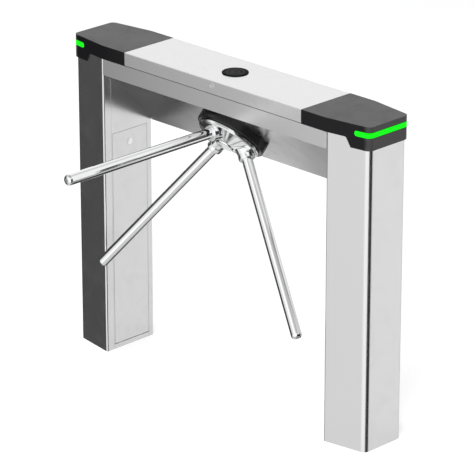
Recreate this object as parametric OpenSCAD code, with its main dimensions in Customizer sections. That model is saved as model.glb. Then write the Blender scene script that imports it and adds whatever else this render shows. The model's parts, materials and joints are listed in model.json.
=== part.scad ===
// Tripod turnstile of the bridge type. Two hollow legs carry a beam with a sloped
// face, and a hub with three arms turns on an axis square to that face. One arm
// always lies level across the lane. Lengths are in millimetres. +X runs along the
// beam, -Y is the lane side where the arms stand, +Z is up, and the origin is on
// the floor midway between the legs.

/* [Cabinet] */
// Height from the floor to the top of the covers
cabinet_h = 980; // [900:5:1100]
// Length of the beam between the inner faces of the legs
beam_l = 908; // [900:4:1200]
// Width of the beam, and of the legs at their inner faces
body_w = 196; // [192:2:230]
// Thickness of the folded sheet
sheet_t = 2; // [1.5:0.25:2.5]
// Height of the vertical front band, from the top of the covers to its lip
band_h = 92; // [84:2:110]
// Depth of the lip below the front band
lip_d = 10; // [6:1:14]
// Width of the flanges folded in along the top of the beam
flange_w = 14; // [12:1:18]

/* [Legs] */
// Length of a leg along the beam
leg_l = 142; // [130:2:180]
// Width of a leg at its outer face
leg_end_w = 150; // [136:2:170]
// Corner radius at the outer face
leg_outer_r = 18; // [10:1:22]
// Corner radius at the inner face
leg_inner_r = 5; // [3:1:8]
// Width of a leg's door opening
door_w = 142; // [120:2:150]
// Distance from the top of the covers down to a leg's door opening
door_drop = 285; // [260:5:400]
// Height of the door's sill over the floor
door_sill = 15; // [12:1:40]
// Thickness of the anchor plate in the foot
foot_t = 8; // [6:1:12]
// Diameter of the anchor holes
anchor_d = 14; // [10:1:18]
// Spacing of the anchor holes along the beam
anchor_dx = 80; // [60:5:100]
// Spacing of the anchor holes across the beam
anchor_dy = 110; // [80:5:116]
// Diameter of the cable entry in the anchor plate
entry_d = 50; // [30:2:56]

/* [Covers] */
// Length of the lid over the middle of the beam
lid_l = 716; // [600:4:760]
// Height of the end covers over the beam
cap_h = 42; // [38:1:50]
// Height of an end cover's nose
nose_h = 70; // [62:1:84]
// Length of the nose along the beam
nose_l = 64; // [56:1:80]
// Length of the slanted step between skirt and nose
step_l = 16; // [8:1:24]
// Wall of an end cover
cap_wall = 3; // [2:0.5:3.5]
// Height of a light bar
light_h = 18; // [14:1:24]
// Distance from the top of the cover to the light bar
light_drop = 16; // [12:1:16]
// Length of a light bar along the side of the nose
light_l = 52; // [40:1:58]
// Diameter of the round window in the lid
lens_d = 78; // [50:2:100]

/* [Tripod] */
// Tilt of the hub's axis from the vertical, and of the sloped face from the level
tilt = 45; // [44:0.5:46]
// Distance of the hub's axis up the sloped face from the face's middle
hub_up = 15.92; // [12:0.02:20]
// Depth behind the sloped face at which the arms' axes meet
apex_in = 20; // [18:0.5:22]
// Reach of an arm from the point where the axes meet
arm_reach = 664; // [500:4:700]
// Diameter of an arm
arm_d = 32; // [28:1:34]
// Wall of an arm's tube
arm_wall = 2; // [1.5:0.25:3]
// Diameter of the flange on the sloped face
flange_d = 216; // [210:2:222]
// Height of the flange over the sloped face
flange_h = 23; // [20:1:26]
// Diameter of the hub's rim
hub_d = 194; // [184:2:202]
// Diameter of a socket boss on the hub
boss_d = 48; // [44:1:52]
// Distance from the arms' meeting point to the end of a boss
boss_end = 112; // [108:1:120]

/* [Mechanism] */
// Diameter of the main shaft
shaft_d = 30; // [25:1:32]
// Outer diameter of a bearing
bearing_d = 62; // [58:1:66]
// Width of a bearing
bearing_w = 16; // [12:1:18]
// Length of the bearing housing
housing_l = 60; // [52:1:64]
// Gear module, the pitch diameter for each tooth
gear_module = 2; // [2:0.1:2]
// Face width of the gears
gear_face = 10; // [8:0.5:12]
// Diameter of the lock disc
lock_d = 96; // [92:1:98]
// Diameter of the encoder disc
encoder_d = 112; // [108:1:114]
// Angle that a pawl swings from released to locked
pawl_swing = 12; // [11.5:0.25:12.5]
// Diameter of the drive motor
motor_d = 57; // [50:1:58]

/* [Hidden] */
$fn = 64;

// General clearances
over = 1;
face_gap = 1;
seat_gap = 0.3;
running_gap = 0.05;
arc_steps = 8;

// Cabinet, from the driving sizes
leg_h = cabinet_h - cap_h;
leg_in_x = beam_l / 2;
leg_out_x = leg_in_x + leg_l;
leg_mid_x = (leg_in_x + leg_out_x) / 2;
taper = atan((body_w - leg_end_w) / 2 / leg_l);
lip_z = cabinet_h - band_h;
slope_top_y = lip_d - body_w / 2;
slope_low_z = lip_z - (body_w - lip_d) * tan(tilt);
nose_z = cabinet_h - nose_h;
door_h = cabinet_h - door_drop - door_sill;
slope_l = (body_w - lip_d) / cos(tilt);
hub_down = slope_l / 2 - hub_up;

// Covers
cap_lap = 2;
cap_over = 4;
cap_out_x = leg_out_x + cap_over;
cap_in_x = lid_l / 2 + face_gap / 2;
cap_end_w = leg_end_w + 2 * cap_over;
cap_w = body_w + 2 * cap_lap;
cap_corner_r = leg_outer_r;
step_bend_r = 8;
nose_x = cap_out_x - nose_l;
light_z = cabinet_h - light_drop - light_h;
light_x = cap_out_x - light_l;
light_proud = 0.4;
light_gap = 0.2;
board_t = 1.6;
led_strip_h = 8;
reader_l = 70;
reader_w = 60;
reader_drop = 6;
reader_inset = 58;
reader_post_r = 2.5;
reader_coil_t = 1;
reader_coil_r = 22;
lens_r = lens_d / 2;
lens_rise = 2.5;
lens_lip = 5;
lens_neck_r = lens_r - lens_lip;
lens_neck_h = 8;
lens_edge_r = 1.2;

// Legs
seam_w = 1.2;
seam_depth = 0.8;
door_shift = 6;
seam_from_door = 4;
seam_y = door_shift - door_w / 2 - seam_from_door;
door_mid_y = door_shift;
door_foot_gap = 2;
hook_w = 20;
hook_t = 2.4;
hook_up = 24;
hook_bead_r = 2.2;
hook_x = leg_in_x + sheet_t + seat_gap + hook_bead_r;
hook_z = foot_t + face_gap + hook_bead_r;
hook_side_share = 0.3;
stiff_t = 2;
stiff_d = 12;
stiff_inset = 4;
stiff_margin = 30;
stiff_top = 55;

// Cam locks
lock_flange_r = 10;
lock_flange_t = 1.5;
lock_barrel_r = 8;
lock_barrel_l = 8;
lock_plug_r = 6;
lock_plug_proud = 0.6;
lock_slot_w = 1.6;
lock_slot_l = 7;
lock_slot_d = 3;
door_lock_drop = 40;
door_cam_l = 48;
door_cam_w = 12;
door_cam_t = 2;
door_cam_pad_l = 8;

// Lid lock, whose hook catches the keeper's pin
lid_lock_x = 4;
lid_lock_drop = 16;
lid_barrel_l = 13;
lid_cam_t = 2;
hook_floor_gap = 2;
hook_out_r = cap_h - lid_lock_drop - hook_floor_gap;
lid_hook_w = 5.5;
hook_in_r = hook_out_r - lid_hook_w;
hook_arm_w = 7;
hook_toe = 42;
hook_back = 10;
keeper_pin_r = 2.5;
keeper_pin_gap = 0.7;
keeper_pin_turn = 36;
keeper_pin_at = hook_in_r - keeper_pin_gap - keeper_pin_r;
keeper_pin_x = keeper_pin_at * sin(keeper_pin_turn);
keeper_pin_drop = keeper_pin_at * cos(keeper_pin_turn);
keeper_w = 34;
keeper_t = 2;
keeper_foot = 14;
keeper_set = 5;

// Lid and its hinges
lid_seam = 2.5;
gasket_t = 3;
gasket_w = 8;
lid_fold_w = 12;
lid_end_fold = 26;
lid_bend_r = 3;
hinge_l = 60;
hinge_inset_share = 0.3;
hinge_knuckle_r = 4.5;
hinge_pin_r = 2;
hinge_leaf_t = 2;
hinge_leaf_h = 26;
hinge_web = 2.5;
hinge_gap = 0.5;
hinge_knuckles = 5;
hinge_y = body_w / 2 + hinge_leaf_t + hinge_knuckle_r;
hinge_z = leg_h;

// Beam ends
window_r = 30;
window_y = 25;
window_drop = 58;
grommet_t = 2;
grommet_wall = 4;
bolt_r = 4;
bolt_head_r = 6.5;
bolt_head_h = 5;
beam_bolt_edge = 26;
beam_bolt_drop = 38;
beam_bolt_low = 58;
beam_bolt_front = 100;

// Hub's place on the sloped face
hub_y = slope_top_y + hub_down * cos(tilt);
hub_z = lip_z - hub_down * sin(tilt);
arm_angle = 90 - tilt;
arm_step = 120;

// Hub and arms, heights over the sloped face
hub_clear = 0.6;
hub_rim_t = 10.5;
hub_groove_d = 2;
hub_groove_w = 1.2;
hub_edge_r = 2;
hub_dome_bend = 30;
hub_crown_bend = 4;
hub_neck_r = 56;
hub_neck_low = 2;
hub_dome_r = 95;
hub_top_r = 50;
hub_top_h = 47;
hub_crown_r = 31;
hub_crown_h = 52;
hub_well_r = 22;
hub_well_h = 42;
hub_cap_r = 29;
hub_cap_rise = 5;
hub_cap_edge = 4;
flange_wall = 3;
flange_edge_r = 4;
flange_gap = 1.5;
arm_low_s = (flange_h + hub_clear + apex_in + arm_d / 2 * sin(arm_angle)) / cos(arm_angle);
arm_low_r = arm_low_s * sin(arm_angle) + arm_d / 2 * cos(arm_angle);
flange_hole_r = max(hub_neck_r, arm_low_r) + flange_gap;
arm_root = 58;
socket_gap = 0.1;
boss_edge_r = 3;
boss_root_r = 30;
boss_collar_l = 15;
boss_groove_w = 2.5;
boss_groove_d = 2.5;
boss_step = 1;
arm_cap_l = 14;
arm_plug_l = 20;
arm_cap_edge = 10;
screw_r = 3.5;
screw_head_h = 1.2;
screw_back = 9;
hub_washer_r = 17;
hub_washer_t = 2.5;
hub_bolt_r = 6;
hub_bolt_head_r = 9.5;
hub_bolt_head_h = 6;
hub_bolt_l = 26;

// Mechanism stack, heights over the sloped face, so inner faces are negative
plate_t = 8;
plate_front = -sheet_t;
plate_back = plate_front - plate_t;
mech_half_l = 130;
mech_low = 80;
mech_high = 104;
mech_corner_r = 12;
mech_bolt_at = 66;
housing_wall = 9;
housing_r = bearing_d / 2 + housing_wall;
housing_flange_w = 9;
housing_flange_r = housing_r + housing_flange_w;
housing_flange_t = 8;
housing_gap = 0.2;
housing_shoulder = 4;
housing_screw_r = 2.5;
housing_screw_head_r = 4;
housing_screw_head_h = 5;
housing_screw_count = 6;
bearing_groove = 1;
bearing_race_share = 0.3;
shaft_r = shaft_d / 2;
shaft_collar_r = 19;
shaft_tail = 3;
gear_room = 4;
gear_front = -(housing_l + gear_room);
gear_back = gear_front - gear_face;
gear_teeth = 60;
pinion_teeth = 20;
gear_backlash = 0.12;
gear_flank_steps = 3;
gear_hub_r = 24;
gear_web = 5;
gear_rim = 7;
gear_hole_r = 7;
gear_hole_count = 6;
pressure_angle = 20;
gear_centres = gear_module * (gear_teeth + pinion_teeth) / 2;
lock_gap = 2;
lock_t = 6;
lock_front = gear_back - lock_gap;
lock_back = lock_front - lock_t;
lock_r = lock_d / 2;
lock_hub_r = 24;
notch_w = 9;
notch_depth = 10;
notch_at = 30;
lock_notches = 6;
lock_hole_r = 6;
lock_hole_at = 32;
encoder_gap = 2;
encoder_t = 1.5;
encoder_front = lock_back - encoder_gap;
encoder_back = encoder_front - encoder_t;
encoder_r = encoder_d / 2;
encoder_hub_r = 22;
encoder_slots = 12;
encoder_slot_w = 6;
encoder_slot_l = 4;
encoder_rim = 2;
shaft_end = encoder_back - shaft_tail;
lock_plate_t = 6;
shaft_room = 1.5;
lock_plate_front = shaft_end - shaft_room;
lock_plate_back = lock_plate_front - lock_plate_t;
lock_plate_half_l = 128;
lock_plate_low = 26;
lock_plate_high = 108;
lock_plate_hole_r = 18;
key_w = 8;
key_h = 7;
key_gap = 0.1;
standoff_x = 119;
standoff_low = -16;
standoff_high = 94;
standoff_r = 7;
standoff_stud_r = 4;
standoff_nut_r = 6.5;
standoff_nut_h = 5;

// Pawls, drawn about their pivots as they stand when locked
pawl_l = 50;
pawl_under = 4;
pawl_t = 5;
pawl_arm_w = 9;
pawl_arm_rise = 11;
pawl_hub_r = 9;
pawl_pin_r = 4;
nose_w = notch_w - 1;
nose_tip_gap = 2;
tail_l = 25;
tail_r = 5.5;
tail_w = 8;
tail_slot_l = 1.4;
tail_gap = 0.2;
pawl_mid = (lock_front + lock_back) / 2;
pawl_side = [cos(notch_at), sin(notch_at)];
pawl_along = [-sin(notch_at), cos(notch_at)];
pawl_pivot = (lock_r - pawl_under) * pawl_side + pawl_l * pawl_along;
tail_pin = pawl_pivot + tail_l * [-sin(pawl_swing / 2), cos(pawl_swing / 2)];
stud_r = 6;
stud_head_r = 6;
stud_head_h = 1.5;
spring_wire = 1.4;
spring_r = 7.6;
spring_turns = 4;
spring_steps = 14;
spring_sides = 6;
spring_leg = 9;

// Solenoids and plungers
solenoid_l = 50;
solenoid_w = 28;
solenoid_wall = 2.5;
solenoid_coil_r = 10.5;
solenoid_at = 23.5;
plunger_r = 6;
plunger_l = 36;
plunger_proud = 8;
plunger_blade_t = 3;
plunger_blade_w = 8;
plunger_pin_r = 2;
plunger_room = 44;
plunger_travel = 2 * tail_l * sin(pawl_swing / 2);

// Motor and pinion
motor_l = 48;
motor_nose_r = 19;
motor_nose_h = 2;
motor_flange_t = 6;
motor_shaft_r = 4;
motor_shaft_in = 12;

// Encoder sensor
fork_l = 16;
fork_w = 14;
fork_bite = 4;
fork_gap = 1.3;
fork_h = 11;

// Electronics on the rear wall
board_l = 180;
board_h = 116;
control_x = -250;
control_drop = 150;
control_z = cabinet_h - control_drop;
control_post = 10;
control_post_r = 4;
control_margin = 8;
chip_h = 10;
chip_places = [-0.35, -0.1, 0.15];
chip_l_share = 0.125;
chip_w_share = 0.25;
terminal_l_share = 0.667;
supply_l = 160;
supply_h = 98;
supply_d = 40;
supply_x = 260;
supply_drop = 148;
supply_z = cabinet_h - supply_drop;
supply_slots = 9;
supply_slot_w = 3;
supply_slot_d = 6;
supply_slot_share = 0.6;
terminal_h = 12;
terminal_d = 14;

// Colours of the finished surfaces
steel = [0.78, 0.79, 0.80];
bright = [0.90, 0.91, 0.92];
chrome = [0.86, 0.87, 0.89];
black = [0.07, 0.07, 0.08];
dark = [0.20, 0.20, 0.22];
zinc = [0.66, 0.67, 0.68];
green = [0.15, 0.95, 0.20];
board_green = [0.10, 0.35, 0.20];
copper = [0.72, 0.38, 0.20];

// Outlines

function unit(v) = v / norm(v);

// Arc of radius r that rounds a corner, from the side towards the point before it
function corner_arc(before, corner, after, r) =
    let (
        a = unit(before - corner),
        b = unit(after - corner),
        half = acos(a * b) / 2,
        centre = corner + unit(a + b) * r / sin(half),
        first = corner + a * r / tan(half) - centre,
        last = corner + b * r / tan(half) - centre,
        start = atan2(first.y, first.x),
        raw = atan2(last.y, last.x) - start,
        sweep = raw > 180 ? raw - 360 : raw < -180 ? raw + 360 : raw
    )
    [for (i = [0 : arc_steps])
        centre + r * [cos(start + sweep * i / arc_steps), sin(start + sweep * i / arc_steps)]];

// Outline with each corner rounded by its own radius, none where the radius is 0
function rounded(points, radii) =
    let (n = len(points))
    [for (i = [0 : n - 1])
        each radii[i] <= 0 ? [points[i]]
            : corner_arc(points[(i + n - 1) % n], points[i], points[(i + 1) % n], radii[i])];

function rounded_box(low, high, r) =
    rounded([low, [high.x, low.y], high, [low.x, high.y]], [r, r, r, r]);

// Plan of the right leg, drawn in by inset
function leg_outline(inset) =
    let (
        side = inset / cos(taper),
        slip = inset * tan(taper),
        half_in = body_w / 2 - side - slip,
        half_out = leg_end_w / 2 - side + slip
    )
    rounded(
        [[leg_in_x + inset, -half_in], [leg_out_x - inset, -half_out],
         [leg_out_x - inset, half_out], [leg_in_x + inset, half_in]],
        [leg_inner_r - inset, leg_outer_r - inset, leg_outer_r - inset, leg_inner_r - inset]);

// Plan of the right end cover, drawn in by inset
function cap_outline(inset) =
    let (
        lean = atan((cap_w - cap_end_w) / 2 / (cap_out_x - leg_in_x)),
        half_in = cap_w / 2 - inset,
        half_out = cap_end_w / 2 - inset / cos(lean) + inset * tan(lean),
        bend_x = leg_in_x - inset * tan(lean / 2)
    )
    rounded(
        [[cap_in_x + inset, -half_in], [bend_x, -half_in], [cap_out_x - inset, -half_out],
         [cap_out_x - inset, half_out], [bend_x, half_in], [cap_in_x + inset, half_in]],
        [0, 0, cap_corner_r - inset, cap_corner_r - inset, 0, 0]);

// Section of the beam in Y and Z, drawn in by inset, up to the height top
function beam_section(inset, top) =
    let (
        half = body_w / 2 - inset,
        turn_y = slope_top_y + inset * (1 - cos(tilt)) / sin(tilt),
        low_z = lip_z + (inset - (body_w - lip_d - inset) * sin(tilt)) / cos(tilt)
    )
    [[-half, top], [-half, lip_z + inset], [turn_y, lip_z + inset], [half, low_z], [half, top]];

// Involute of the circle base_r, as the angle turned at radius r
function involute(base_r, r) =
    r <= base_r ? 0 : let (a = acos(base_r / r)) tan(a) * 180 / PI - a;

// Outline of a spur gear with a tooth on +X
function gear_outline(teeth) =
    let (
        pitch_r = gear_module * teeth / 2,
        base_r = pitch_r * cos(pressure_angle),
        root_r = pitch_r - gear_module * 1.25,
        tip_r = pitch_r + gear_module,
        half_tooth = 90 / teeth - gear_backlash / 2 / pitch_r * 180 / PI
    )
    [for (i = [0 : teeth - 1], side = [-1, 1], k = [0 : gear_flank_steps])
        let (
            step = side < 0 ? k : gear_flank_steps - k,
            r = root_r + (tip_r - root_r) * step / gear_flank_steps,
            a = 360 * i / teeth
                + side * (half_tooth + involute(base_r, pitch_r) - involute(base_r, r))
        )
        r * [cos(a), sin(a)]];

// Placing

// Draws for the right end, or mirrors it to the left end when side is -1
module at_end(side) {
    if (side < 0) mirror([1, 0, 0]) children();
    else children();
}

module along_beam(length) {
    rotate([90, 0, 90]) translate([0, 0, -length / 2]) linear_extrude(length) children();
}

module across_beam(width) {
    rotate([90, 0, 0]) translate([0, 0, -width / 2]) linear_extrude(width) children();
}

// Frame of the hub: +Z out of the sloped face along the axis, +Y up the slope
module on_slope() {
    translate([0, hub_y, hub_z]) rotate([180 - tilt, 0, 0]) children();
}

// Frame of one arm: +Z from the meeting point out along the arm, +Y outward
module on_arm(turn) {
    on_slope() translate([0, 0, -apex_in]) rotate([0, 0, turn]) rotate([-arm_angle, 0, 0])
        children();
}

module ring(outer_r, inner_r, h) {
    difference() {
        cylinder(r = outer_r, h = h);
        translate([0, 0, -over]) cylinder(r = inner_r, h = h + 2 * over);
    }
}

// Flat bar between two points with round ends
module bar(from, to, w) {
    translate(from) circle(d = w);
    translate(to) circle(d = w);
    translate(from) rotate(atan2(to.y - from.y, to.x - from.x))
        translate([0, -w / 2]) square([norm(to - from), w]);
}

// Legs

module beam_bolt_places() {
    high = body_w / 2 - beam_bolt_edge;
    for (place = [[-high, leg_h - beam_bolt_drop], [high, leg_h - beam_bolt_drop],
                  [high, slope_low_z + beam_bolt_low], [0, leg_h - beam_bolt_front]])
        translate([leg_in_x, place.x, place.y]) rotate([0, 90, 0]) children();
}

module cable_window(r, reach) {
    translate([leg_in_x - reach, window_y, leg_h - window_drop]) rotate([0, 90, 0])
        cylinder(r = r, h = 2 * reach);
}

module door_opening(gap, reach) {
    translate([leg_in_x - reach, door_mid_y - door_w / 2 + gap, door_sill + gap])
        cube([2 * reach, door_w - 2 * gap, door_h - 2 * gap]);
}

module leg(side) {
    color(steel) at_end(side) difference() {
        linear_extrude(leg_h) polygon(leg_outline(0));
        translate([0, 0, -over]) linear_extrude(leg_h + 2 * over) polygon(leg_outline(sheet_t));
        door_opening(0, sheet_t * 2);
        cable_window(window_r, sheet_t * 2);
        beam_bolt_places() translate([0, 0, -over]) cylinder(r = bolt_r, h = sheet_t + 2 * over);
        translate([leg_in_x - over, seam_y, -over])
            cube([over + seam_depth, seam_w, leg_h + 2 * over]);
    }
}

module base_plates() {
    color(zinc) for (side = [-1, 1]) at_end(side) difference() {
        linear_extrude(foot_t) polygon(leg_outline(sheet_t));
        translate([leg_mid_x, 0, -over]) cylinder(d = entry_d, h = foot_t + 2 * over);
        for (x = [-anchor_dx / 2, anchor_dx / 2], y = [-anchor_dy / 2, anchor_dy / 2])
            translate([leg_mid_x + x, y, -over]) cylinder(d = anchor_d, h = foot_t + 2 * over);
    }
}

// Service doors in the legs' inner faces, hooked at the sill and locked at the top

door_lock_z = door_sill + door_h - door_lock_drop;

module at_door_lock() {
    translate([leg_in_x, door_mid_y, door_lock_z]) rotate([0, 90, 0]) children();
}

module door(side) {
    hook_y = door_w * hook_side_share;
    stiff_h = door_h - stiff_margin - stiff_top;
    color(bright) at_end(side) difference() {
        union() {
            translate([leg_in_x, door_mid_y - door_w / 2 + face_gap, door_sill + door_foot_gap])
                cube([sheet_t, door_w - 2 * face_gap, door_h - door_foot_gap - face_gap]);
            for (y = [-door_w / 2 + stiff_inset, door_w / 2 - stiff_inset - stiff_t])
                translate([leg_in_x + sheet_t, door_mid_y + y, door_sill + stiff_margin])
                    cube([stiff_d, stiff_t, stiff_h]);
            for (y = [-hook_y, hook_y]) translate([0, door_mid_y + y - hook_w / 2, 0]) {
                translate([leg_in_x + sheet_t, 0, door_sill + door_foot_gap])
                    cube([hook_x + hook_t - leg_in_x - sheet_t, hook_w, hook_up - door_foot_gap]);
                translate([hook_x, 0, hook_z])
                    cube([hook_t, hook_w, door_sill + hook_up - hook_z]);
                translate([hook_x, 0, hook_z]) rotate([-90, 0, 0])
                    cylinder(r = hook_bead_r, h = hook_w);
            }
        }
        at_door_lock() translate([0, 0, -over]) cylinder(r = lock_barrel_r, h = sheet_t + 2 * over);
    }
}

module lock_body(barrel_l) {
    translate([0, 0, -lock_flange_t]) ring(lock_flange_r, lock_plug_r, lock_flange_t);
    ring(lock_barrel_r, lock_plug_r, barrel_l);
}

module lock_plug(barrel_l, tail) {
    plug_l = lock_flange_t + lock_plug_proud + barrel_l + tail;
    translate([0, 0, -lock_flange_t - lock_plug_proud]) difference() {
        cylinder(r = lock_plug_r - running_gap, h = plug_l);
        translate([-lock_slot_l / 2, -lock_slot_w / 2, -over])
            cube([lock_slot_l, lock_slot_w, lock_slot_d + over]);
    }
}

module door_lock(side) {
    color(zinc) at_end(side) at_door_lock() lock_body(sheet_t + lock_barrel_l);
}

// The cam lies level when the door is unlocked
module door_cam(side) {
    barrel = sheet_t + lock_barrel_l;
    pad_h = lock_barrel_l - face_gap;
    color(zinc) at_end(side) at_door_lock() {
        lock_plug(barrel, seat_gap + door_cam_t);
        translate([0, 0, barrel + seat_gap]) linear_extrude(door_cam_t)
            bar([0, 0], [0, door_cam_l - door_cam_w / 2], door_cam_w);
        translate([-door_cam_w / 2, door_cam_l - door_cam_pad_l, barrel + seat_gap - pad_h])
            cube([door_cam_w, door_cam_pad_l, pad_h + door_cam_t]);
    }
}

// Beam

module beam_shell() {
    half = body_w / 2;
    color(steel) difference() {
        along_beam(beam_l) polygon(beam_section(0, leg_h));
        along_beam(beam_l - 2 * sheet_t) polygon(beam_section(sheet_t, leg_h - sheet_t));
        translate([-beam_l / 2 + sheet_t, -half + flange_w, leg_h - 2 * sheet_t])
            cube([beam_l - 2 * sheet_t, body_w - 2 * flange_w, 3 * sheet_t]);
        for (side = [-1, 1]) at_end(side) {
            cable_window(window_r, 2 * sheet_t);
            beam_bolt_places() translate([0, 0, -sheet_t - over])
                cylinder(r = bolt_r, h = sheet_t + 2 * over);
        }
        on_slope() {
            translate([0, 0, -sheet_t - over])
                cylinder(r = housing_r + housing_gap, h = sheet_t + 2 * over);
            mech_bolt_places() translate([0, 0, -sheet_t - over])
                cylinder(r = bolt_r, h = sheet_t + 2 * over);
        }
    }
}

module beam_bolts() {
    color(zinc) for (side = [-1, 1]) at_end(side) beam_bolt_places() {
        translate([0, 0, -sheet_t]) cylinder(r = bolt_r, h = 2 * sheet_t + bolt_head_h);
        translate([0, 0, -sheet_t - bolt_head_h]) cylinder(r = bolt_head_r, h = bolt_head_h);
        translate([0, 0, sheet_t]) cylinder(r = bolt_head_r, h = bolt_head_h, $fn = 6);
    }
}

module cable_grommets() {
    color(black) for (side = [-1, 1]) at_end(side)
        translate([leg_in_x, window_y, leg_h - window_drop]) rotate([0, 90, 0]) {
            translate([0, 0, -sheet_t]) ring(window_r, window_r - grommet_wall, 2 * sheet_t);
            for (z = [-sheet_t - grommet_t, sheet_t]) translate([0, 0, z])
                ring(window_r + grommet_wall, window_r - grommet_wall, grommet_t);
        }
}

// End covers with their lights and boards

// Zone of a light bar, with round ends on both sides of the nose
module light_zone(shrink) {
    r = light_h / 2 - shrink;
    translate([light_x + light_h / 2, 0, light_z + light_h / 2]) {
        rotate([90, 0, 0]) translate([0, 0, -cap_w]) cylinder(r = r, h = 2 * cap_w);
        translate([0, -cap_w, -r]) cube([light_l, 2 * cap_w, 2 * r]);
    }
}

module cap(side) {
    low = nose_z - over;
    color(black) at_end(side) difference() {
        translate([0, 0, nose_z]) linear_extrude(nose_h) polygon(cap_outline(0));
        translate([0, 0, low]) linear_extrude(nose_h + over - cap_wall)
            polygon(cap_outline(cap_wall));
        across_beam(cap_w + 2 * over) polygon(rounded(
            [[cap_in_x - over, low], [nose_x, low], [nose_x, nose_z],
             [nose_x - step_l, leg_h], [cap_in_x - over, leg_h]],
            [0, 0, step_bend_r - over, step_bend_r, 0]));
        light_zone(0);
    }
}

module light_bar(side) {
    color(green) at_end(side) intersection() {
        difference() {
            translate([0, 0, light_z - over]) linear_extrude(light_h + 2 * over)
                polygon(cap_outline(-light_proud));
            translate([0, 0, light_z - 2 * over]) linear_extrude(light_h + 4 * over)
                polygon(cap_outline(cap_wall));
        }
        light_zone(light_gap);
    }
}

module led_boards() {
    back = cap_wall + board_t;
    color(board_green) for (side = [-1, 1]) at_end(side) intersection() {
        translate([light_x + light_h / 2, -cap_w / 2, light_z]) cube([light_l, cap_w, light_h]);
        translate([0, 0, light_z + (light_h - led_strip_h) / 2]) difference() {
            linear_extrude(led_strip_h) polygon(cap_outline(cap_wall));
            translate([0, 0, -over]) linear_extrude(led_strip_h + 2 * over)
                polygon(cap_outline(back));
        }
    }
}

module reader_boards() {
    color(board_green) for (side = [-1, 1]) at_end(side)
        translate([leg_mid_x - reader_inset, 0, cabinet_h - cap_wall - reader_drop]) {
            translate([-reader_l / 2, -reader_w / 2, -board_t])
                cube([reader_l, reader_w, board_t]);
            ring(reader_coil_r, reader_coil_r - over, reader_coil_t);
            for (x = [-1, 1], y = [-1, 1])
                translate([x * (reader_l / 2 - 2 * reader_post_r),
                           y * (reader_w / 2 - 2 * reader_post_r), 0])
                    cylinder(r = reader_post_r, h = reader_drop);
        }
}

// Lid over the middle of the beam

lid_low = leg_h + lid_seam;
lid_half_w = cap_w / 2;
gasket_z = leg_h + gasket_t;

module lid_section(inset, low) {
    top = cabinet_h - inset;
    half = lid_half_w - inset;
    bend = lid_bend_r - inset;
    polygon(rounded([[-half, low], [half, low], [half, top], [-half, top]], [0, 0, bend, bend]));
}

module at_lid_lock() {
    translate([lid_lock_x, -lid_half_w, cabinet_h - lid_lock_drop]) rotate([-90, 0, 0]) children();
}

module lid() {
    fold_z = gasket_z + seat_gap;
    color(bright) difference() {
        union() {
            difference() {
                along_beam(lid_l) lid_section(0, lid_low);
                along_beam(lid_l - 2 * sheet_t) lid_section(sheet_t, lid_low - over);
                translate([-lid_l, -lid_half_w + lid_fold_w, lid_low - over])
                    cube([2 * lid_l, cap_w - 2 * lid_fold_w, cap_h - lid_end_fold]);
            }
            for (turn = [0, 1]) mirror([0, turn, 0])
                translate([-lid_l / 2, lid_half_w - sheet_t / 2 - lid_fold_w, fold_z])
                    cube([lid_l, lid_fold_w, sheet_t]);
        }
        translate([0, 0, cabinet_h - sheet_t - over])
            cylinder(r = lens_neck_r, h = sheet_t + 2 * over);
        at_lid_lock() translate([0, 0, -over]) cylinder(r = lock_barrel_r, h = sheet_t + 2 * over);
    }
}

module lid_gasket() {
    length = lid_l - 2 * (sheet_t + face_gap);
    color(black) for (side = [-1, 1])
        translate([-length / 2, side * (body_w / 2 - flange_w / 2) - gasket_w / 2, leg_h])
            cube([length, gasket_w, gasket_t]);
}

module lid_lock() {
    color(zinc) at_lid_lock() lock_body(lid_barrel_l);
}

function hook_ray(angle) = 2 * hook_out_r * [cos(angle), sin(angle)];

// The hook lies to the side when the lid is unlocked, and swings down to lock it
module lid_cam() {
    cam_z = lid_barrel_l + seat_gap;
    color(zinc) at_lid_lock() {
        lock_plug(lid_barrel_l, seat_gap + lid_cam_t);
        translate([0, 0, cam_z]) linear_extrude(lid_cam_t) rotate(90) {
            bar([0, 0], [0, hook_in_r], hook_arm_w);
            intersection() {
                difference() {
                    circle(r = hook_out_r);
                    circle(r = hook_in_r);
                }
                polygon([[0, 0], hook_ray(90 - hook_toe), hook_ray(90 - hook_toe / 2),
                         hook_ray(90 + hook_back)]);
            }
        }
    }
}

module lid_keeper() {
    pin_z = cabinet_h - lid_lock_drop - keeper_pin_drop;
    plate_y = -lid_half_w + lid_barrel_l + seat_gap + lid_cam_t + keeper_set;
    low = leg_h - sheet_t - keeper_t;
    color(zinc) {
        translate([lid_lock_x - keeper_w / 2, plate_y - keeper_foot, low])
            cube([keeper_w, keeper_foot + keeper_t, keeper_t]);
        translate([lid_lock_x - keeper_w / 2, plate_y, low])
            cube([keeper_w, keeper_t, pin_z + 2 * keeper_pin_r - low]);
        translate([lid_lock_x + keeper_pin_x, plate_y + keeper_t / 2, pin_z]) rotate([90, 0, 0])
            cylinder(r = keeper_pin_r, h = keeper_set + lid_cam_t + keeper_t);
    }
}

// Hinges on the rear wall

function hinge_places() = [-lid_l * hinge_inset_share, lid_l * hinge_inset_share];

// Every other knuckle of one hinge, starting with the first or the second
module knuckles(start, bore) {
    pitch = hinge_l / hinge_knuckles;
    for (i = [start : 2 : hinge_knuckles - 1])
        translate([-hinge_l / 2 + i * pitch + hinge_gap / 2, hinge_y, hinge_z]) rotate([0, 90, 0])
            ring(hinge_knuckle_r, bore, pitch - hinge_gap);
}

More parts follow.
